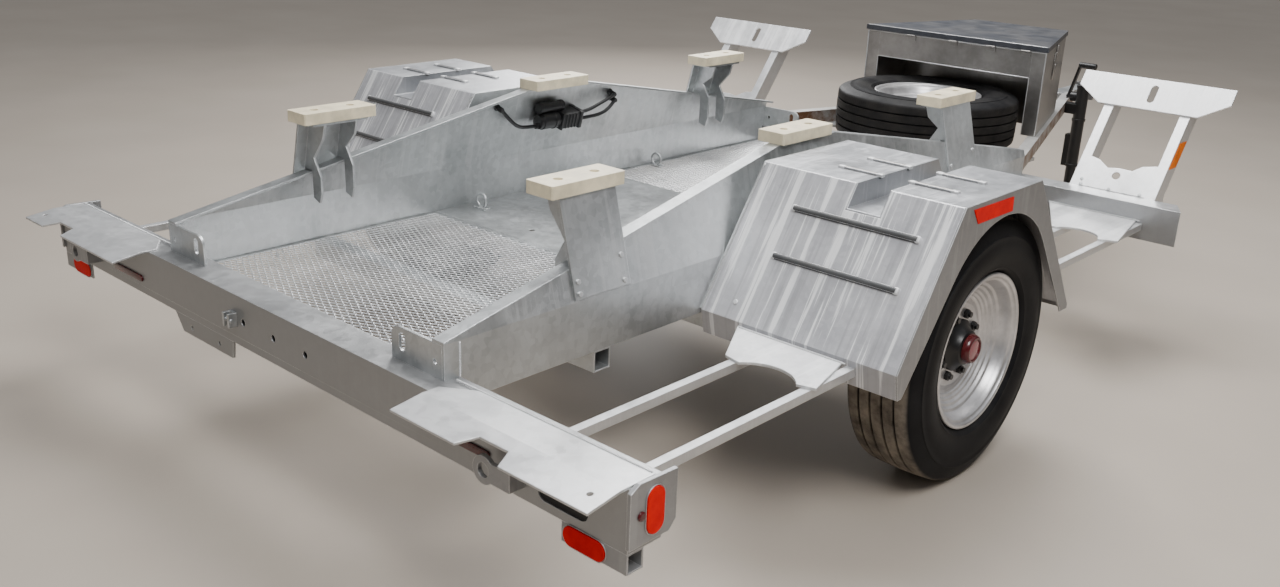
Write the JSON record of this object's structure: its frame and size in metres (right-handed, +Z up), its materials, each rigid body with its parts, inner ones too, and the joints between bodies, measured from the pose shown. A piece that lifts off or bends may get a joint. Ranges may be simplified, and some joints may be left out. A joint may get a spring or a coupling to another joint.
{
  "type": "off-road trailer",
  "caption": "Low single-axle galvanised off-road trailer with humped side rails, raised pads, a tongue jack, a toolbox and a flat-lying spare wheel.",
  "frame": {"origin": "middle of the footprint on the ground", "axes": "+Y forwards to the towing eye, +X to the right, +Z up"},
  "size_m": [2.598, 5.396, 1],
  "materials": {
    "galvanised": "hot-dip galvanised, streaked and spangled",
    "bright_galvanised": "fresh bright galvanised plate",
    "mesh_plate": "galvanised raised-diamond floor",
    "pad_plastic": "cream slide plastic",
    "tyre": "ribbed truck tyre rubber",
    "rim_paint": "silver wheel paint",
    "hub_paint": "black hub paint",
    "black_steel": "satin black",
    "black_plastic": "black moulding",
    "hose_rubber": "black hose",
    "box_aluminium": "dull sheet aluminium",
    "lid_black": "dark lid sheet",
    "lamp_red": "red lens",
    "reflector_amber": "amber lens",
    "eye_steel": "forged eye"
  },
  "bodies": {
    "chassis": {"rail_right": "galvanised", "rail_left": "galvanised", "rail_end_lugs": "galvanised", "rear_beam": "galvanised", "front_beam": "galvanised", "tail_brackets": "galvanised", "end_plates": "galvanised", "step_plates": "galvanised", "eye_lugs": "galvanised", "rear_hanger": "galvanised", "rear_clevis": "galvanised", "floor_meshes": "mesh_plate", "floor_plate": "galvanised", "floor_rings": "galvanised", "cross_members": "galvanised", "axle_beam": "galvanised", "torsion_arms": "galvanised", "spindles": "black_steel", "fender_tops": "galvanised", "fender_slopes": "galvanised", "fender_skirts": "galvanised", "fender_inner_walls": "galvanised", "rear_gussets": "bright_galvanised", "front_gussets": "bright_galvanised", "brace_bars": "galvanised", "light_guards": "bright_galvanised", "guard_plates": "bright_galvanised", "pads": "pad_plastic", "pad_brackets": "galvanised", "tongue_rails": "galvanised", "drawbar": "galvanised", "coupler": "eye_steel", "jack_tube": "black_steel", "jack_crank": "black_steel", "toolbox_floor": "box_aluminium", "toolbox_sides": "box_aluminium", "toolbox_front": "box_aluminium", "toolbox_rear": "box_aluminium", "toolbox_fittings": "box_aluminium", "spare_carrier": "galvanised", "spare_tyre": "tyre", "spare_rim": "rim_paint", "actuator": "black_plastic", "hoses": "hose_rubber", "red_lamps": "lamp_red", "amber_reflectors": "reflector_amber"},
    "wheel_right": {"hub_right": "hub_paint", "rim_right": "rim_paint", "tyre_right": "tyre"},
    "wheel_left": {"hub_left": "hub_paint", "rim_left": "rim_paint", "tyre_left": "tyre"},
    "jack_foot": {"jack_leg": "black_steel"},
    "box_lid": {"toolbox_lid": "lid_black"}
  },
  "joints": [
    {"name": "wheel_right_spin", "type": "hinge", "parent": "chassis", "child": "wheel_right", "pos_m": [1.156, -1.07, 0.398], "axis": [1, 0, 0], "continuous": true},
    {"name": "wheel_left_spin", "type": "hinge", "parent": "chassis", "child": "wheel_left", "pos_m": [-1.156, -1.07, 0.398], "axis": [1, 0, 0], "continuous": true},
    {"name": "jack_slide", "type": "slide", "parent": "chassis", "child": "jack_foot", "axis": [0, 0, 1], "range_m": [0, 0.19]},
    {"name": "lid_hinge", "type": "hinge", "parent": "chassis", "child": "box_lid", "pos_m": [0, 0.897, 0.974], "axis": [1, 0, 0], "range_deg": [0, 90]}
  ]
}
